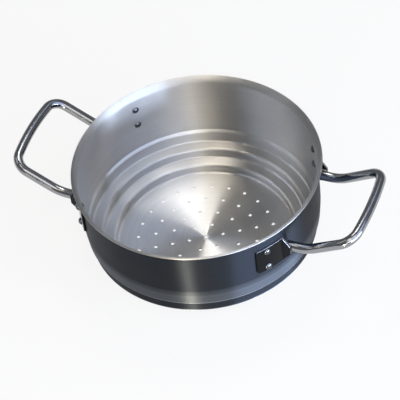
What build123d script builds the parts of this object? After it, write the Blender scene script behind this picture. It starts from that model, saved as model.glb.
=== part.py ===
from build123d import *
import os
from math import asin, atan, cos, degrees, radians, sin, sqrt, tan

# A stepped, perforated steamer insert in stainless steel, with two riveted loop handles.
# Millimetres. The origin is the middle of the underside of the floor, +Z up, handles along X.
# Right is +X, left is -X, front is -Y and rear is +Y.

os.makedirs("parts", exist_ok=True)

# The pans that the bowl's steps seat in
smallest_pan_diameter = 160.0
pan_diameter_step = 20.0
pan_sizes = 3
pan_clearance = 0.6

# The bowl: one deep-drawn sheet, with a riser and a seat for each pan, a shoulder and a plain wall
sheet = 0.8
step_pitch = 10.1
seat_rise = 1.7
top_riser_height = 10.4
shoulder_flare_height = 2.4
shoulder_height = 13.8
shoulder_taper = 1.2
wall_overhang = 3.0
wall_height = 48.8
floor_bend = 3.0
seat_root_bend = 1.8
seat_edge_bend = 2.6
shoulder_foot_bend = 1.8
shoulder_top_blend = 3.0

# The flared lip
lip_reach = 4.0
lip_sweep = 80.0
lip_edge_round = 0.3

# The steam holes: one in the middle, then rings of 6, 12, 18 and 24
steam_hole_diameter = 3.0
steam_hole_pitch = 15.05
steam_rings = 4
holes_in_first_ring = 6
steam_row_angle = 31.7

# The handle rods
rod_diameter = 8.5
arm_spacing = 82.4
level_reach = 10.1
bend_radius = 32.0
handle_tilt = 29.0
slope_length = 44.7
corner_radius = 13.7
crossbar_bow = 3.7
rod_end_gap = 0.6

# The brackets, pressed from thicker sheet
bracket_sheet = 2.0
bracket_height = 26.4
bracket_lip_gap = 7.85
rod_drop = 1.0
plate_width = 27.0
bracket_bend = 1.5
plate_corner_round = 2.6
lug_reach = 8.9
lug_tip_round = 1.0
bracket_edge_round = 0.4
weld_root_gap = 0.1

# The weld seams between a lug and its rod
weld_leg = 3.5
weld_root_angle = 18.0
weld_toe_angle = 52.0
weld_crown = 0.25
weld_inset = 0.6

# The rivets
rivet_inset = 16.6
rivet_edge_distance = 4.1
rivet_shank_diameter = 4.0
rivet_hole_clearance = 0.03
rivet_head_diameter = 6.4
rivet_head_height = 2.2
rivet_head_rim = 0.5

# Worked out from the sizes above
seat_radii = [(smallest_pan_diameter + size * pan_diameter_step) / 2 - pan_clearance for size in range(pan_sizes)]
wall_radius = seat_radii[-1] + pan_clearance + wall_overhang
lip_radius = wall_radius + lip_reach
shoulder_root_height = (pan_sizes - 1) * step_pitch + top_riser_height
shoulder_foot_height = shoulder_root_height + shoulder_flare_height
shoulder_top_height = shoulder_foot_height + shoulder_height
rim_height = shoulder_top_height + wall_height
shoulder_turn = atan(shoulder_taper / shoulder_height)
shoulder_top_bend = shoulder_top_blend / tan(shoulder_turn / 2)
lip_bend = lip_reach / (1 - cos(radians(lip_sweep)))
lip_start_height = rim_height - (lip_bend + sheet) * sin(radians(lip_sweep))
bracket_radius = wall_radius + bracket_sheet
bracket_middle = lip_start_height - bracket_lip_gap - bracket_height / 2
foot_height = bracket_middle - rod_drop
rod_radius = rod_diameter / 2
arm_y = arm_spacing / 2
bend_distance = wall_radius + level_reach
lug_inner_y = arm_y + rod_radius + weld_root_gap
lug_outer_y = lug_inner_y + bracket_sheet
lug_tip_x = sqrt(wall_radius**2 - lug_outer_y**2) + lug_reach
lug_root_x = sqrt(bracket_radius**2 - lug_outer_y**2)
lug_angle = degrees(asin(lug_inner_y / wall_radius))
plate_angle = degrees(plate_width / wall_radius)
rivet_angle = lug_angle + degrees(rivet_inset / wall_radius)
rivet_heights = {
    "upper": bracket_middle + bracket_height / 2 - rivet_edge_distance,
    "lower": bracket_middle - bracket_height / 2 + rivet_edge_distance,
}
side_mirrors = {"right": None, "left": Plane.YZ}
end_mirrors = {"front": None, "rear": Plane.XZ}


def placed(shape, side, end):
    """A copy of a piece made at the right front foot, mirrored onto another foot."""
    for plane in (side_mirrors[side], end_mirrors[end]):
        if plane is not None:
            shape = mirror(shape, about=plane)
    return shape


def outward(angle):
    """The direction that points away from the bowl's axis at an angle from +X."""
    return Vector(cos(radians(angle)), sin(radians(angle)), 0)


# The bowl: the outside line of its section is thickened inwards and turned round the axis
step_corners = [(0, 0), (seat_radii[0], 0)]
step_bends = [floor_bend]
for step in range(1, pan_sizes):
    step_corners.append((seat_radii[step - 1], step * step_pitch - seat_rise))
    step_corners.append((seat_radii[step], step * step_pitch))
    step_bends += [seat_root_bend, seat_edge_bend]
step_corners += [
    (seat_radii[-1], shoulder_root_height),
    (wall_radius - shoulder_taper, shoulder_foot_height),
    (wall_radius, shoulder_top_height),
    (wall_radius, lip_start_height),
]
step_bends += [seat_root_bend, shoulder_foot_bend, shoulder_top_bend]

with BuildPart() as steamer_bowl:
    with BuildSketch(Plane.XZ) as bowl_section:
        with BuildLine():
            body_line = FilletPolyline(*step_corners, radius=step_bends)
            JernArc(start=body_line @ 1, tangent=body_line % 1, radius=lip_bend, arc_size=-lip_sweep)
            offset(amount=sheet, side=Side.LEFT, closed=True)
        make_face()
        fillet(bowl_section.vertices().sort_by(Axis.X)[-2:], radius=lip_edge_round)
    revolve(axis=Axis.Z)
    with BuildSketch(Plane.XY):
        Circle(steam_hole_diameter / 2)
        for ring in range(1, steam_rings + 1):
            with PolarLocations(ring * steam_hole_pitch, ring * holes_in_first_ring, start_angle=steam_row_angle):
                Circle(steam_hole_diameter / 2)
    extrude(amount=sheet, mode=Mode.SUBTRACT)
    for height in rivet_heights.values():
        for angle in (rivet_angle, -rivet_angle, 180 - rivet_angle, 180 + rivet_angle):
            with BuildSketch(Plane(origin=(0, 0, height), z_dir=outward(angle))):
                Circle(rivet_shank_diameter / 2 + rivet_hole_clearance)
            extrude(amount=lip_radius, mode=Mode.SUBTRACT)
steamer_bowl.part.label = "steamer_bowl"
export_step(steamer_bowl.part, "parts/steamer_bowl.step")

# The handle rod: level arms, a bend upwards, two rounded corners and a bowed crossbar
tilt = radians(handle_tilt)
slope = Vector(cos(tilt), 0, sin(tilt))
bend_run = bend_radius * tan(tilt / 2)
slope_plane = Plane(
    origin=(bend_distance, 0, foot_height),
    x_dir=slope,
    z_dir=slope.cross(Vector(0, 1, 0)),
)

with BuildPart() as handle_rod:
    with BuildLine(slope_plane) as loop:
        Line((bend_run, -arm_y), (slope_length, -arm_y))
        ThreePointArc((slope_length, -arm_y), (slope_length + crossbar_bow, 0), (slope_length, arm_y))
        Line((slope_length, arm_y), (bend_run, arm_y))
        fillet(loop.vertices().sort_by(Axis.X)[-2:], radius=corner_radius)
    with BuildLine() as rod_path:
        for y in (-arm_y, arm_y):
            level_end = Vector(bend_distance - bend_run, y, foot_height)
            Line((0, y, foot_height), level_end)
            TangentArc(level_end, Vector(bend_distance, y, foot_height) + slope * bend_run, tangent=(1, 0, 0))
        add(loop.line)
    with BuildSketch(Plane(origin=(0, -arm_y, foot_height), z_dir=(1, 0, 0))):
        Circle(rod_radius)
    sweep(path=rod_path.wire())
    with BuildSketch(Plane.XY):
        Circle(wall_radius + rod_end_gap)
    extrude(amount=rim_height, mode=Mode.SUBTRACT)
for side in side_mirrors:
    rod = placed(handle_rod.part, side, "front")
    rod.label = f"handle_rod_{side}"
    export_step(rod, f"parts/{rod.label}.step")

# The bracket at the right front foot: a plate along the wall, with a tapered lug bent outwards
plate_end_angle = lug_angle + plate_angle

with BuildPart() as bracket:
    with BuildSketch(Plane.XY.offset(bracket_middle - bracket_height / 2)):
        with BuildLine() as bracket_line:
            plate_line = CenterArc((0, 0), wall_radius, -plate_end_angle, plate_angle)
            Line(plate_line @ 1, (lug_tip_x, -lug_inner_y))
            fillet(bracket_line.vertices().sort_by(Axis.X)[-2], radius=bracket_bend + bracket_sheet)
            offset(amount=bracket_sheet, side=Side.RIGHT, closed=True)
        make_face()
    extrude(amount=bracket_height)
    with BuildSketch(Plane.XZ):
        for half in (1, -1):
            edge_height = bracket_middle + half * bracket_height / 2
            with BuildLine():
                Polyline(
                    (lug_root_x, edge_height),
                    (lug_tip_x, foot_height + half * rod_radius),
                    (lug_tip_x, edge_height),
                    close=True,
                )
            make_face()
    extrude(amount=wall_radius, mode=Mode.SUBTRACT)
    fillet(bracket.edges().filter_by(Axis((0, 0, 0), outward(-plate_end_angle))), radius=plate_corner_round)
    fillet(bracket.edges().filter_by(Axis.Y).sort_by(Axis.X)[-2:], radius=lug_tip_round)
    curved_faces = bracket.faces().filter_by(GeomType.CYLINDER)
    plate_face = curved_faces.sort_by(SortBy.AREA)[-1]
    lug_face = bracket.faces().filter_by(Plane.XZ).sort_by(Axis.Y)[0]
    bend_face = curved_faces.filter_by(
        lambda face: face.edges() & plate_face.edges() and face.edges() & lug_face.edges()
    )[0]
    seams = bend_face.edges() & (plate_face.edges() + lug_face.edges())
    fillet((plate_face.edges() + bend_face.edges() + lug_face.edges()) - seams, radius=bracket_edge_round)
    for height in rivet_heights.values():
        with BuildSketch(Plane(origin=(0, 0, height), z_dir=outward(-rivet_angle))):
            Circle(rivet_shank_diameter / 2 + rivet_hole_clearance)
        extrude(amount=lip_radius, mode=Mode.SUBTRACT)

# The weld at the right front foot: one seam above the rod and one below it
weld_start_x = lug_root_x + weld_inset
weld_end_x = lug_tip_x - weld_inset


def on_rod(angle):
    """A point of the rod's outline, seen along the rod, at an angle up from the lug's side."""
    return (-arm_y - rod_radius * cos(radians(angle)), foot_height + rod_radius * sin(radians(angle)))


with BuildPart() as weld:
    with BuildSketch(Plane(origin=(weld_start_x, 0, 0), x_dir=(0, 1, 0), z_dir=(1, 0, 0))):
        root = (-lug_inner_y, on_rod(weld_root_angle)[1])
        lug_toe = (-lug_inner_y, foot_height + weld_leg)
        rod_toe = on_rod(weld_toe_angle)
        with BuildLine():
            Line(root, lug_toe)
            SagittaArc(lug_toe, rod_toe, weld_crown)
            ThreePointArc(rod_toe, on_rod((weld_toe_angle + weld_root_angle) / 2), on_rod(weld_root_angle))
            Line(on_rod(weld_root_angle), root)
        make_face()
    extrude(amount=weld_end_x - weld_start_x)
    mirror(about=Plane.XY.offset(foot_height))

for side in side_mirrors:
    for end in end_mirrors:
        for piece, name in ((bracket.part, "bracket"), (weld.part, "weld")):
            copy = placed(piece, side, end)
            copy.label = f"{name}_{side}_{end}"
            export_step(copy, f"parts/{copy.label}.step")

# The rivets: a domed head inside the bowl, a shank, and a domed head on the bracket
head_radius = rivet_head_diameter / 2
shank_radius = rivet_shank_diameter / 2
dome_height = rivet_head_height - rivet_head_rim
dome_radius = (head_radius**2 + dome_height**2) / (2 * dome_height)
dome_angle = degrees(asin(head_radius / dome_radius))
inner_seat = sqrt((wall_radius - sheet) ** 2 - head_radius**2)
outer_seat = bracket_radius

for level, height in rivet_heights.items():
    along_wall = Vector(0, 0, 1).cross(outward(-rivet_angle))
    rivet_plane = Plane(origin=(0, 0, height), x_dir=along_wall, z_dir=along_wall.cross(outward(-rivet_angle)))
    with BuildPart() as rivet:
        with BuildSketch(rivet_plane):
            with BuildLine():
                outer_rim = (head_radius, outer_seat + rivet_head_rim)
                inner_rim = (head_radius, inner_seat - rivet_head_rim)
                outer_top = outer_seat + rivet_head_height
                inner_top = inner_seat - rivet_head_height
                CenterArc((0, outer_top - dome_radius), dome_radius, 90 - dome_angle, dome_angle)
                CenterArc((0, inner_top + dome_radius), dome_radius, 270, dome_angle)
                Polyline(
                    outer_rim,
                    (head_radius, outer_seat),
                    (shank_radius, outer_seat),
                    (shank_radius, inner_seat),
                    (head_radius, inner_seat),
                    inner_rim,
                )
                Line((0, inner_top), (0, outer_top))
            make_face()
        revolve(axis=Axis((0, 0, height), outward(-rivet_angle)))
    for side in side_mirrors:
        for end in end_mirrors:
            copy = placed(rivet.part, side, end)
            copy.label = f"rivet_{side}_{end}_{level}"
            export_step(copy, f"parts/{copy.label}.step")
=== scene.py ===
# %% [markdown]
# # A steamer insert in stainless steel
#
# The insert is one deep-drawn steel bowl with a perforated floor. Two polished wire loops are held by
# riveted brackets. Its shape is already modelled as solids, so this file is about the finish: how turned
# and polished steel looks, how a hand-made weld seam looks, and how a studio is lit so that steel shows
# its form.

# %% Load the frame
import math

import bmesh
import bpy
from mathutils import Matrix, Vector


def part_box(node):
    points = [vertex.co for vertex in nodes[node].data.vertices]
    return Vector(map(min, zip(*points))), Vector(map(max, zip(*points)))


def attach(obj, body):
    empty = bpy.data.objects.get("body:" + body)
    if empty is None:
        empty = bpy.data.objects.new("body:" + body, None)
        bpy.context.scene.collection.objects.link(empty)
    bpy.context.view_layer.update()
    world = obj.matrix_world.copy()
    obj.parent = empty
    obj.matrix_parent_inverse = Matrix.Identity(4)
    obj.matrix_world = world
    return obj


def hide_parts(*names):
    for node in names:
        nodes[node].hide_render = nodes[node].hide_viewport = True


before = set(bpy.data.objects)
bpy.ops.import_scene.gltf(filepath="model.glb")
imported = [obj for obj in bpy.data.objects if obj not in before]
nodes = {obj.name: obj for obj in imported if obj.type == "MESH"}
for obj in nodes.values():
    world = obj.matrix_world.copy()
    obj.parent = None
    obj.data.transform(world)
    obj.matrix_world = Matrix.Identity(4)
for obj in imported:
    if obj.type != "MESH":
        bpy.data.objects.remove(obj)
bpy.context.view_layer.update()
MM = 0.001

# %% [markdown]
# ## The camera
#
# A wide lens close to a round rim would stretch its near side. A long lens from almost two metres away
# keeps the rim close to a true ellipse, as in the photograph. The camera looks down at about 47 degrees
# and leans a little to one side. Its place is worked out from the lip's radius, so it would follow if the
# bowl grew.

# %% Place the camera
LIP_RADIUS = 107 * MM
FLOOR_INSIDE = 0.8 * MM
VIEW_AZIMUTH = math.radians(27.5)
VIEW_ELEVATION = math.radians(47.34)
VIEW_ROLL = math.radians(-7.94)
VIEW_DISTANCE = 16.122 * LIP_RADIUS
AIM_HEIGHT = FLOOR_INSIDE + 0.45 * LIP_RADIUS
AIM_RIGHT = -0.0093 * LIP_RADIUS
AIM_UP = 0.0023 * LIP_RADIUS
# a camera's lens and sensor are given in millimetres
FOCAL_LENGTH = 180
SENSOR_WIDTH = 36


def direction(azimuth, elevation):
    """A unit vector seen from the camera's side: azimuth 0 points at the camera, 90 degrees to its right."""
    turn = VIEW_AZIMUTH + azimuth
    level = Vector((math.sin(turn), -math.cos(turn), 0)) * math.cos(elevation)
    return level + Vector((0, 0, math.sin(elevation)))


back = direction(0, VIEW_ELEVATION)
level_right = direction(math.pi / 2, 0)
level_up = back.cross(level_right)
right = math.cos(VIEW_ROLL) * level_right + math.sin(VIEW_ROLL) * level_up
up = math.cos(VIEW_ROLL) * level_up - math.sin(VIEW_ROLL) * level_right
aim = right * AIM_RIGHT + up * AIM_UP + Vector((0, 0, AIM_HEIGHT))

camera_data = bpy.data.cameras.new("camera")
camera_data.lens = FOCAL_LENGTH
camera_data.sensor_width = SENSOR_WIDTH
camera = bpy.data.objects.new("camera", camera_data)
bpy.context.scene.collection.objects.link(camera)
turned = Matrix((right, up, back)).transposed().to_4x4()
camera.matrix_world = Matrix.Translation(aim + back * VIEW_DISTANCE) @ turned
bpy.context.scene.camera = camera
bpy.context.scene.view_settings.view_transform = "Standard"
print("camera at", [round(value, 3) for value in camera.location])

# %% [markdown]
# ## Colours, nodes and materials
#
# Colours are easiest to read as sRGB hex values, and Blender's sockets want linear ones, so one function
# turns them. Nodes could be added by hand in the shader editor. Here one small function adds a node, and
# each input gets a plain value or another node's output. Two more make an empty material and put a
# material on a piece.


# %% Helpers for colours, nodes and materials
def linear(hex_colour):
    """An sRGB hex colour as linear red, green, blue and alpha."""
    channels = [int(hex_colour[place:place + 2], 16) / 255 for place in (1, 3, 5)]
    return [c / 12.92 if c <= 0.04045 else ((c + 0.055) / 1.055) ** 2.4 for c in channels] + [1]


def add_node(material, kind, inputs=None, **properties):
    """Adds a node. Each input is a plain value, or another node's output to link."""
    tree = material.node_tree
    node = tree.nodes.new(kind)
    for name, value in properties.items():
        setattr(node, name, value)
    for socket, value in (inputs or {}).items():
        if isinstance(value, bpy.types.NodeSocket):
            tree.links.new(node.inputs[socket], value)
        else:
            node.inputs[socket].default_value = value
    return node


def new_material(name):
    """An empty material."""
    material = bpy.data.materials.new(name)
    material.use_nodes = True
    material.node_tree.nodes.clear()
    return material


def dress(piece, material):
    """Gives a piece one material."""
    piece.data.materials.clear()
    piece.data.materials.append(material)


print("helpers ready, middle grey is", [round(channel, 3) for channel in linear("#808080")])

# %% [markdown]
# ## The bowl: satin stainless steel, brushed on a lathe
#
# The bowl is turned while an abrasive pad is held against it, so every fine line runs round the axis. Such
# lines spread a reflection across themselves and keep it sharp along themselves. That is why a satin pan
# shows a bright fan on its floor, and straight vertical bands on its walls.
#
# The lines could be modelled as bump alone, but real ones are under 0.1 mm wide, far finer than a pixel.
# Anisotropic reflection is what they add up to: the tangent runs round the axis, and a quarter turn of the
# anisotropy puts the spread across it. A few coarser lines are then drawn by a noise that is thin along the
# bowl's section and long round the axis. So the material first has to know where on the bowl a point lies.

# %% Where a point of the bowl lies
LIP_START = 90.5 * MM


def turned_place(material):
    """Sockets for a point's spot, height, direction from the axis and way along the section, in metres.

    Two more say how far its face looks up, and whether it is on the outside, as 1 or 0.
    """
    place = add_node(material, "ShaderNodeTexCoord")
    spot = place.outputs["Object"]
    level = add_node(
        material, "ShaderNodeVectorMath", {0: spot, 1: (1, 1, 0)}, operation="MULTIPLY",
    ).outputs[0]
    radius = add_node(material, "ShaderNodeVectorMath", {0: level}, operation="LENGTH").outputs["Value"]
    outward = add_node(material, "ShaderNodeVectorMath", {0: level}, operation="NORMALIZE").outputs[0]
    height = add_node(material, "ShaderNodeSeparateXYZ", {0: spot}).outputs["Z"]
    along = add_node(material, "ShaderNodeMath", {0: radius, 1: height}, operation="ADD").outputs[0]
    # a face is on the outside where its normal points outwards more than it points up, below the lip
    facing = add_node(
        material, "ShaderNodeVectorMath", {0: place.outputs["Normal"], 1: outward}, operation="DOT_PRODUCT",
    ).outputs["Value"]
    upward = add_node(material, "ShaderNodeSeparateXYZ", {0: place.outputs["Normal"]}).outputs["Z"]
    outwards = add_node(
        material, "ShaderNodeMath", {0: facing, 1: upward}, operation="GREATER_THAN",
    ).outputs[0]
    low = add_node(
        material, "ShaderNodeMath", {0: height, 1: LIP_START}, operation="LESS_THAN",
    ).outputs[0]
    outside = add_node(material, "ShaderNodeMath", {0: outwards, 1: low}, operation="MULTIPLY").outputs[0]
    return {
        "spot": spot, "height": height, "outward": outward, "along": along,
        "upward": upward, "outside": outside,
    }


# Satin stainless steel, turned: it gives the eye soft bands and a fan of light, and no clear mirror image.
# Its outside colour is a painted reflection.
satin = new_material("stainless_satin_turned_painted_reflection")
bowl_place = turned_place(satin)
print("the bowl's material knows:", ", ".join(bowl_place))

# %% [markdown]
# ## The marks on the satin
#
# Three marks follow the lathe: fine lines from the abrasive, broader rings from drawing and brushing, and
# slow waves, because a drawn sheet is never quite round. They could be three image textures, but a noise
# whose space is stretched round the axis does all three, and its grains have a width and a length in
# millimetres. A fourth noise isn't stretched: it stands for the faint smudges of handling.

# %% Lines, rings, waves and smudges
# The abrasive's own lines are under 0.1 mm wide. They are drawn 0.9 mm wide, so that they show in the render.
LINE_WIDTH = 0.9 * MM
LINE_LENGTH = 200 * MM
RING_WIDTH = 5 * MM
RING_LENGTH = 400 * MM
WAVE_WIDTH = 60 * MM
WAVE_LENGTH = 45 * MM
SMUDGE_SIZE = 22 * MM


def lathe_lines(material, place, width, length, detail):
    """A noise whose grains have this width across the lines, and this length round the rim."""
    across = add_node(
        material, "ShaderNodeMath", {0: place["along"], 1: width}, operation="DIVIDE",
    ).outputs[0]
    lift = add_node(material, "ShaderNodeCombineXYZ", {"Z": across}).outputs[0]
    turns = LIP_RADIUS / length
    spot = add_node(
        material, "ShaderNodeVectorMath", {0: place["outward"], 1: (turns, turns, 0), 2: lift},
        operation="MULTIPLY_ADD",
    ).outputs[0]
    return add_node(
        material, "ShaderNodeTexNoise",
        {"Vector": spot, "Scale": 1.0, "Detail": detail, "Roughness": 0.6},
    ).outputs["Fac"]


lines = lathe_lines(satin, bowl_place, LINE_WIDTH, LINE_LENGTH, 1)
rings = lathe_lines(satin, bowl_place, RING_WIDTH, RING_LENGTH, 2)
waves = lathe_lines(satin, bowl_place, WAVE_WIDTH, WAVE_LENGTH, 0)
smudges = add_node(
    satin, "ShaderNodeTexNoise",
    {"Vector": bowl_place["spot"], "Scale": 1 / SMUDGE_SIZE, "Detail": 3, "Roughness": 0.55},
).outputs["Fac"]
print("satin: lines", LINE_WIDTH / MM, "mm wide, rings", RING_WIDTH / MM, "mm wide")

# %% [markdown]
# ## The colour of the satin, with its painted reflection
#
# Steel has hardly a colour of its own: it shows what stands round it. Inside, the walls mirror each other
# and the lamps, and the sheet looks pale. In the photograph the upright outside faces are near black. They
# could be darkened by hiding the studio's white floor from them, but then the undersides would turn black
# too. So the outside's colour is a painted reflection: its upright faces get a near-black painted reflection
# of a dark room, and its faces that look down a paler painted reflection of the white floor. The fine lines
# only shade the colour by a few percent.

# %% Satin colour and painted reflection
INSIDE_COLOUR = linear("#dad9d6")
# painted reflection: near black on the upright outside faces, pale on the outside faces that look down
OUTSIDE_PAINTED_DARK_REFLECTION = linear("#33373d")
UNDERSIDE_PAINTED_FLOOR_REFLECTION = linear("#9da4ac")
# an outside face is an underside in full where the upward part of its normal has come down to this
UNDERSIDE_TILT = -0.35
# most values of a noise lie between these two
NOISE_LOW = 0.3
NOISE_HIGH = 0.7
LINE_DARK = 0.955
LINE_PALE = 1.03

# A Map Range node has the range it reads at inputs 1 and 2, and the range it gives at inputs 3 and 4.
# how far an outside face looks down, which sets how much of the pale painted reflection it gets
underside = add_node(
    satin, "ShaderNodeMapRange",
    {"Value": bowl_place["upward"], 1: 0.0, 2: UNDERSIDE_TILT, 3: 0.0, 4: 1.0},
).outputs[0]
# A Mix node for colours takes them at inputs 6 and 7, and gives the mixture at output 2.
outside_painted_reflection = add_node(
    satin, "ShaderNodeMix", {0: underside, 6: OUTSIDE_PAINTED_DARK_REFLECTION, 7: UNDERSIDE_PAINTED_FLOOR_REFLECTION}, data_type="RGBA",
).outputs[2]
# the inside keeps the steel's colour, and the outside takes the painted reflection
colour_with_painted_reflection = add_node(
    satin, "ShaderNodeMix", {0: bowl_place["outside"], 6: INSIDE_COLOUR, 7: outside_painted_reflection},
    data_type="RGBA",
).outputs[2]
shade = add_node(
    satin, "ShaderNodeMapRange",
    {"Value": lines, 1: NOISE_LOW, 2: NOISE_HIGH, 3: LINE_DARK, 4: LINE_PALE},
).outputs[0]
satin_colour = add_node(
    satin, "ShaderNodeVectorMath", {0: colour_with_painted_reflection, "Scale": shade}, operation="SCALE",
).outputs[0]
print("satin: inside, outside and underside", [round(colour[1], 3) for colour in (
    INSIDE_COLOUR, OUTSIDE_PAINTED_DARK_REFLECTION, UNDERSIDE_PAINTED_FLOOR_REFLECTION,
)])

# %% [markdown]
# ## The roughness of the satin
#
# One roughness all over looks like plastic film. On the real bowl the rings are brushed a little more or
# less, fingers leave duller smudges, the outside is brushed coarser than the inside, and the lip is rougher
# still, because it is rolled and then only deburred. Each of these is a small part, and the parts are added
# up. The rings stay within a narrow range, since a wider one breaks the smooth bands into dashes.

# %% Satin roughness
RING_SMOOTH = 0.277
RING_DULL = 0.29
SMUDGE_LOW = 0.45
SMUDGE_PART = 0.03
OUTSIDE_PART = 0.11
LIP_PART = 0.2
# the lip's finish fades in between these two heights
LIP_FADE_START = 88.5 * MM
LIP_FADE_END = 91.0 * MM

rough_rings = add_node(
    satin, "ShaderNodeMapRange",
    {"Value": rings, 1: NOISE_LOW, 2: NOISE_HIGH, 3: RING_SMOOTH, 4: RING_DULL},
).outputs[0]
rough_smudges = add_node(
    satin, "ShaderNodeMapRange",
    {"Value": smudges, 1: SMUDGE_LOW, 2: NOISE_HIGH, 3: 0.0, 4: SMUDGE_PART},
).outputs[0]
rough_lip = add_node(
    satin, "ShaderNodeMapRange",
    {"Value": bowl_place["height"], 1: LIP_FADE_START, 2: LIP_FADE_END, 3: 0.0, 4: LIP_PART},
).outputs[0]
rough_outside = add_node(
    satin, "ShaderNodeMath", {0: bowl_place["outside"], 1: OUTSIDE_PART, 2: rough_smudges},
    operation="MULTIPLY_ADD",
).outputs[0]
rough_sides = add_node(satin, "ShaderNodeMath", {0: rough_lip, 1: rough_outside}, operation="ADD").outputs[0]
satin_roughness = add_node(
    satin, "ShaderNodeMath", {0: rough_rings, 1: rough_sides}, operation="ADD",
).outputs[0]
roughest = RING_DULL + SMUDGE_PART + LIP_PART
print("satin: roughness", RING_SMOOTH, "inside, up to", round(roughest, 3), "at the lip")

# %% [markdown]
# ## The satin shader
#
# The colour and the roughness now meet in one Principled shader, as a metal. A radial tangent round Z
# follows the lathe's lines. Anisotropic at 1 spreads each reflection as far as it can, and the slow waves
# come in as a shallow bump, so that no band on the wall is quite straight.

# %% Put the satin on the bowl
WAVE_DEPTH = 0.25 * MM
# a quarter of a turn, which puts the spread across the lines
SPREAD_TURN = 0.25

wave_bump = add_node(satin, "ShaderNodeBump", {"Strength": 1.0, "Distance": WAVE_DEPTH, "Height": waves})
tangent = add_node(satin, "ShaderNodeTangent", direction_type="RADIAL", axis="Z")
satin_steel = add_node(satin, "ShaderNodeBsdfPrincipled", {
    "Base Color": satin_colour, "Metallic": 1.0, "Roughness": satin_roughness,
    "Anisotropic": 1.0, "Anisotropic Rotation": SPREAD_TURN,
    "Normal": wave_bump.outputs[0], "Tangent": tangent.outputs[0],
})
add_node(satin, "ShaderNodeOutputMaterial", {"Surface": satin_steel.outputs[0]})
dress(nodes["steamer_bowl"], satin)
print("satin nodes:", len(satin.node_tree.nodes))

# %% [markdown]
# ## The handles, brackets and rivets: polished stainless steel
#
# The wire is drawn, bent and tumbled bright, and the brackets and rivets are polished after pressing. All
# of them mirror the room, but a polished surface is never a perfect mirror: it keeps a slight orange-peel
# waviness and duller patches where hands touch it. Each finish could be built by hand. One function makes
# them all from a few sizes, because they differ in nothing else.
#
# As on the bowl, the colour holds a painted reflection: the upright faces are painted darker than those
# that look up, since upright polished steel shows what stands round it and a level face shows the lamps.


# %% Polished steel
# a face counts as looking up from the first value of its normal's upward part, and in full at the second
UPWARD_START = 0.3
UPWARD_FULL = 0.85
PATCH_LOW = 0.35
# the smoothest and the dullest patches, as shares of a finish's own roughness
SMOOTH_SHARE = 0.8
DULL_SHARE = 1.5


def polished_steel_with_painted_reflection(name, colour, top_painted_reflection, roughness, wave_size, wave_depth, patch_size):
    """Polished steel with a slight waviness, and duller patches, and a painted reflection in its colour.

    Upright faces have the darker colour, and faces that look up have the paler top colour.
    """
    material = new_material(name)
    place = add_node(material, "ShaderNodeTexCoord")
    spot = place.outputs["Object"]
    upward = add_node(material, "ShaderNodeSeparateXYZ", {0: place.outputs["Normal"]}).outputs["Z"]
    # painted reflection: how far a face looks up sets how much of the paler top colour it gets
    painted_top_mask = add_node(
        material, "ShaderNodeMapRange", {"Value": upward, 1: UPWARD_START, 2: UPWARD_FULL, 3: 0.0, 4: 1.0},
    ).outputs[0]
    colour_with_painted_reflection = add_node(
        material, "ShaderNodeMix", {0: painted_top_mask, 6: linear(colour), 7: linear(top_painted_reflection)},
        data_type="RGBA",
    ).outputs[2]
    waves = add_node(material, "ShaderNodeTexNoise", {"Vector": spot, "Scale": 1 / wave_size, "Detail": 1})
    patches = add_node(material, "ShaderNodeTexNoise", {"Vector": spot, "Scale": 1 / patch_size, "Detail": 3})
    rough = add_node(material, "ShaderNodeMapRange", {
        "Value": patches.outputs["Fac"], 1: PATCH_LOW, 2: NOISE_HIGH,
        3: roughness * SMOOTH_SHARE, 4: roughness * DULL_SHARE,
    })
    bump = add_node(material, "ShaderNodeBump", {
        "Strength": 1.0, "Distance": wave_depth, "Height": waves.outputs["Fac"],
    })
    steel = add_node(material, "ShaderNodeBsdfPrincipled", {
        "Base Color": colour_with_painted_reflection, "Metallic": 1.0, "Roughness": rough.outputs[0], "Normal": bump.outputs[0],
    })
    add_node(material, "ShaderNodeOutputMaterial", {"Surface": steel.outputs[0]})
    return material


# Drawn wire, tumbled bright: clear highlights that run along the rod and ripple slightly. Its grey is a
# painted reflection, a little darker on upright faces and paler on faces that look up.
wire_steel = polished_steel_with_painted_reflection(
    "stainless_wire_polished_painted_reflection", "#9b9da0", "#a8aaad", 0.15, 6 * MM, 0.03 * MM, 12 * MM,
)
# Pressed plate, polished: a nearly flat mirror. Its near-black colour on upright faces is a painted dark
# reflection, and its pale colour on faces that look up, such as the top edges, a painted highlight.
plate_steel = polished_steel_with_painted_reflection(
    "stainless_plate_polished_painted_reflection", "#1f2226", "#b9bbbe", 0.16, 5 * MM, 0.02 * MM, 8 * MM,
)
# Headed rivets, polished: a small highlight on each dome, over a mid grey. The mid grey is a painted dark
# reflection, and the paler colour where a dome looks up a painted reflection of the lamps.
rivet_steel = polished_steel_with_painted_reflection(
    "stainless_rivet_polished_painted_reflection", "#5b5e62", "#85888c", 0.17, 3 * MM, 0.02 * MM, 5 * MM,
)
print("polished:", wire_steel.name, plate_steel.name, rivet_steel.name)

# %% Dress the handles, brackets and rivets
finishes = {"handle_rod": wire_steel, "rivet": rivet_steel, "bracket": plate_steel, "weld": plate_steel}
for name, node in nodes.items():
    for first_word, finish in finishes.items():
        if name.startswith(first_word):
            dress(node, finish)
print("rods:", sum(name.startswith("handle_rod") for name in nodes),
      "brackets:", sum(name.startswith("bracket") for name in nodes),
      "rivets:", sum(name.startswith("rivet") for name in nodes))

# %% [markdown]
# ## The weld seams
#
# Each rod is joined to its bracket's lug by two short fillet welds, one above the rod and one below it. A
# seam made by hand is a row of overlapping scales, one for each dip of the filler wire. Bump would show
# them in the render and leave the exported shape plain, so each seam is modelled: its section is swept
# along the rod, and its crown rises and falls scale by scale. The scales lag behind in the middle, which
# gives them their crescent shape.

# %% The section of a seam
ROD_RADIUS = 4.25 * MM
WELD_LEG = 3.5 * MM
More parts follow.
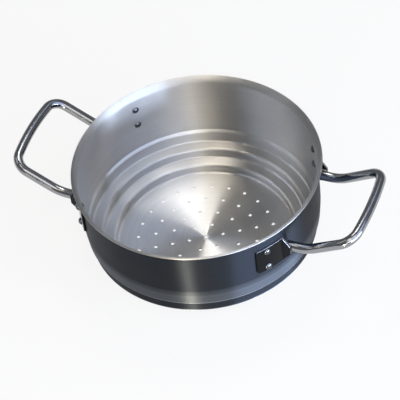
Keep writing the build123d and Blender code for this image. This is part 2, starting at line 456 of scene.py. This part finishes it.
# where the seam touches the rod, measured round the rod from the side that faces the lug
ROOT_ANGLE = math.radians(18)
TOE_ANGLE = math.radians(52)
# the length and height of one scale, and how far its middle lags, on a smooth crown
SCALE_PITCH = 0.95 * MM
SCALE_RISE = 0.2 * MM
SCALE_LAG = 0.55 * MM
CROWN = 0.22 * MM
CROWN_POINTS = 14
ROD_POINTS = 4
# below 1, a power makes a hump full and its ends steep
SCALE_FULLNESS = 0.7
EDGE_FULLNESS = 0.5


def hump(part):
    """Rises from 0 to 1 and falls back to 0 as the part goes from 0 to 1."""
    return 4 * part * (1 - part)


def seam_section(way, length, gap):
    """The section at a way along the seam, as pairs: distance from the lug, height above the rod's axis."""
    lug_toe = Vector((0, WELD_LEG))
    rod_toe = Vector((gap - ROD_RADIUS * math.cos(TOE_ANGLE), ROD_RADIUS * math.sin(TOE_ANGLE)))
    across = (rod_toe - lug_toe).normalized()
    outward = Vector((-across.y, across.x))
    end_fade = min(1, way / SCALE_PITCH, (length - way) / SCALE_PITCH) ** EDGE_FULLNESS
    section = []
    for number in range(CROWN_POINTS + 1):
        part = number / CROWN_POINTS
        bulge = hump(part)
        scale = hump(((way - SCALE_LAG * bulge) / SCALE_PITCH) % 1) ** SCALE_FULLNESS
        rise = end_fade * (bulge * CROWN + bulge ** EDGE_FULLNESS * SCALE_RISE * scale)
        section.append(lug_toe.lerp(rod_toe, part) + outward * rise)
    for number in range(1, ROD_POINTS + 1):
        angle = TOE_ANGLE + (ROOT_ANGLE - TOE_ANGLE) * number / ROD_POINTS
        section.append(Vector((gap - ROD_RADIUS * math.cos(angle), ROD_RADIUS * math.sin(angle))))
    section.append(Vector((0, ROD_RADIUS * math.sin(ROOT_ANGLE))))
    return section


print("section points:", len(seam_section(SCALE_PITCH, 5 * SCALE_PITCH, ROD_RADIUS)))

# %% Weld metal
# Weld metal, brushed: duller than the polished wire, with a trace of straw colour left by the heat. Its
# faces that look up are paler, a painted reflection.
weld_steel = polished_steel_with_painted_reflection(
    "stainless_weld_brushed_painted_reflection", "#c9c5bd", "#dcd8d0", 0.3, 1.5 * MM, 0.03 * MM, 2 * MM,
)
print("weld metal:", weld_steel.name)

# %% Sweep the seams
SEAM_RINGS = 60
# an edge that bends more than this stays sharp
SHARP_ANGLE = math.radians(50)


def weld_bead(side, end):
    """Both seams of one bracket, as one piece in the place of its weld node."""
    low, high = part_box(f"weld_{side}_{end}")
    along = 1 if side == "right" else -1
    inward = 1 if end == "front" else -1
    start_x = low.x if along > 0 else high.x
    lug_y = low.y if inward > 0 else high.y
    axis_z = (low.z + high.z) / 2
    length = high.x - low.x
    gap = (high.y - low.y) + ROD_RADIUS * math.cos(TOE_ANGLE)
    mesh = bmesh.new()
    for half in (1, -1):
        rings = []
        for number in range(SEAM_RINGS + 1):
            way = length * number / SEAM_RINGS
            rings.append([
                mesh.verts.new((start_x + along * way, lug_y + inward * point.x, axis_z + half * point.y))
                for point in seam_section(way, length, gap)
            ])
        for first, second in zip(rings, rings[1:]):
            for number in range(len(first)):
                after = (number + 1) % len(first)
                mesh.faces.new((first[number], first[after], second[after], second[number]))
        mesh.faces.new(rings[0])
        mesh.faces.new(rings[-1])
    bmesh.ops.recalc_face_normals(mesh, faces=mesh.faces)
    data = bpy.data.meshes.new(f"weld_bead_{side}_{end}")
    mesh.to_mesh(data)
    mesh.free()
    data.shade_smooth()
    data.set_sharp_from_angle(angle=SHARP_ANGLE)
    bead = bpy.data.objects.new(data.name, data)
    bpy.context.scene.collection.objects.link(bead)
    data.materials.append(weld_steel)
    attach(bead, "root")
    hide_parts(f"weld_{side}_{end}")
    return bead


beads = [weld_bead(side, end) for side in ("right", "left") for end in ("front", "rear")]
print("weld beads:", [bead.name for bead in beads], "vertices each:", len(beads[0].data.vertices))

# %% [markdown]
# ## Lamps round the bowl
#
# Steel is lit by what it mirrors, so the lamps are soft boxes: large, flat and even. A small lamp would
# leave a hot spot, and a bright world would make the steel flat grey. Each box stands where the part of the
# bowl that should be bright mirrors it towards the camera. A wall across the axis from a lamp is what it
# lights inside, and the wall on its own side is what it lights outside.
#
# A lamp that stands lower than the lip lights the outside alone. Satin spreads its light over the whole
# height of the wall, so such a lamp has to be strong, and a narrow one draws an upright stripe.

# %% Soft boxes
LAMP_TARGET = Vector((0, 0, 50 * MM))


def soft_box(name, place, turn, width, height, colour, strength):
    """A flat lamp with its size in metres. Strength is its own brightness, where 1 shows as its colour."""
    light = bpy.data.lights.new(name, "AREA")
    light.shape = "RECTANGLE"
    light.size = width
    light.size_y = height
    light.color = linear(colour)[:3]
    # a flat lamp's energy in watts is its brightness times pi times its area
    light.energy = strength * math.pi * width * height
    holder = bpy.data.objects.new(name, light)
    bpy.context.scene.collection.objects.link(holder)
    holder.location = place
    holder.rotation_mode = "QUATERNION"
    holder.rotation_quaternion = turn
    return holder


def panel(name, azimuth, elevation, distance, width, height, colour, strength):
    """A soft box that faces the bowl. Its azimuth in degrees is 0 on the camera's side, 90 on the right."""
    towards = direction(math.radians(azimuth), math.radians(elevation))
    place = LAMP_TARGET + towards * distance
    return soft_box(name, place, towards.to_track_quat("Z", "Y"), width, height, colour, strength)


panels = [
    # the far wall and the far steps, inside
    panel("warm", 347, 52, 1.3, 0.5, 0.36, "#fff4e2", 1.7),
    panel("warm_high", 315, 67, 1.3, 0.3, 0.35, "#fff0d8", 1.9),
    # the left wall inside, and the right one outside
    panel("cool", 45, 36, 1.2, 2.0, 0.9, "#c9d9ff", 1.5),
    panel("cool_low", 45, 5, 1.9, 2.03, 0.33, "#cfe0ff", 30.0),
    panel("cool_back", 138, 50, 1.3, 0.35, 0.35, "#d0dcff", 0.8),
    # the flats of the steps, and the far lip
    panel("front_high", 15, 60, 1.3, 0.8, 0.3, "#fff6ea", 1.6),
    panel("front_low", 3, 22, 1.3, 0.78, 0.35, "#fdf8f2", 3.0),
    # the right edge outside, and the right wall inside
    panel("cool_right", 72, 4, 1.9, 0.63, 0.25, "#cfe0ff", 16.0),
    panel("side", 262, 45, 1.2, 0.5, 0.6, "#f4f6ff", 0.6),
    # the upright warm stripe on the near wall
    panel("strip", -18.5, 0.45, 1.8, 0.167, 0.128, "#f0e2c8", 310.0),
]
print("soft boxes round the bowl:", len(panels))

# %% [markdown]
# ## Lamps over the bowl
#
# A floor brushed in rings mirrors a lamp overhead as a fan, with its point in the middle of the floor. The
# fan lies along the line from the camera over the middle towards the lamp. So the lamp's place to the side
# turns the fan, and the lamp's width opens it. One large lamp would whiten the whole floor, so there are
# four small ones behind the middle: one with a clear edge, a bright core, and two weaker ones that soften
# the fan's right side.

# %% Overhead lamps
OVERHEAD_HEIGHT = 1.0
SKYWARD = Vector((0, 0, 1))


def overhead(name, sideways, behind, width, length, turn, colour, strength):
    """A level soft box, so far to the right of the axis and behind it as the camera sees it, in metres."""
    away = -direction(math.radians(turn), 0)
    place = level_right * sideways - direction(0, 0) * behind + SKYWARD * OVERHEAD_HEIGHT
    turned = Matrix((away.cross(SKYWARD), away, SKYWARD)).transposed().to_quaternion()
    return soft_box(name, place, turned, width, length, colour, strength)


overheads = [
    overhead("overhead_edge", 0.07, 0.45, 0.22, 0.3, -8.5, "#ffffff", 5.5),
    overhead("overhead_core", -0.105, 0.22, 0.16, 0.2, 0, "#fff6ea", 5.0),
    overhead("overhead_soft", 0.14, 0.22, 0.32, 0.2, 0, "#ffffff", 1.9),
    overhead("overhead_wide", 0.27, 0.42, 0.16, 0.3, 20, "#ffffff", 1.8),
]
print("soft boxes over the bowl:", len(overheads))

# %% [markdown]
# ## The world
#
# The world is the light that comes from everywhere else. With none, steel turns black wherever it mirrors
# no lamp. A weak, slightly cool world stands for the walls of the room.

# %% Studio world
WORLD_STRENGTH = 0.2

world = bpy.data.worlds.new("studio")
bpy.context.scene.world = world
world.use_nodes = True
background = world.node_tree.nodes["Background"]
background.inputs["Color"].default_value = linear("#f0f3fa")
background.inputs["Strength"].default_value = WORLD_STRENGTH
print("world strength", WORLD_STRENGTH)

# %% [markdown]
# ## The floor
#
# The bowl stands on a floor of matt white paint that runs far out of the picture. More light could make it
# quite white, but it would fall on the steel too. So the paint is mixed with a white glow of strength 1, for
# rays that come from the camera or from a mirroring or clear surface. The steel then mirrors the same white
# that the camera sees. What is left of the paint keeps the bowl's shadow.

# %% Paint the floor
FLOOR_HALF = 6.0
FLOOR_DROP = 0.2 * MM
GLOW_SHARE = 0.85

# Matt paint, rolled: it gives the eye an even white with no gloss.
floor_material = new_material("floor_matt_paint")
paint = add_node(
    floor_material, "ShaderNodeBsdfPrincipled", {"Base Color": linear("#f6f4ef"), "Roughness": 0.9},
)
glow = add_node(floor_material, "ShaderNodeEmission", {"Color": linear("#ffffff"), "Strength": 1.0})
rays = add_node(floor_material, "ShaderNodeLightPath")
direct = add_node(
    floor_material, "ShaderNodeMath",
    {0: rays.outputs["Is Camera Ray"], 1: rays.outputs["Is Glossy Ray"]}, operation="MAXIMUM",
).outputs[0]
seen = add_node(
    floor_material, "ShaderNodeMath",
    {0: direct, 1: rays.outputs["Is Transmission Ray"]}, operation="MAXIMUM",
).outputs[0]
share = add_node(floor_material, "ShaderNodeMath", {0: seen, 1: GLOW_SHARE}, operation="MULTIPLY").outputs[0]
floor_look = add_node(
    floor_material, "ShaderNodeMixShader", {0: share, 1: paint.outputs[0], 2: glow.outputs[0]},
)
add_node(floor_material, "ShaderNodeOutputMaterial", {"Surface": floor_look.outputs[0]})
print("floor: share of white glow", GLOW_SHARE)

# %% Lay the floor
floor_mesh = bpy.data.meshes.new("floor")
corners = [(x * FLOOR_HALF, y * FLOOR_HALF, 0) for x, y in ((-1, -1), (1, -1), (1, 1), (-1, 1))]
floor_mesh.from_pydata(corners, [], [(0, 1, 2, 3)])
floor_mesh.materials.append(floor_material)
floor = bpy.data.objects.new("floor", floor_mesh)
bpy.context.scene.collection.objects.link(floor)
floor.location.z = -FLOOR_DROP
print("floor:", 2 * FLOOR_HALF, "m wide")
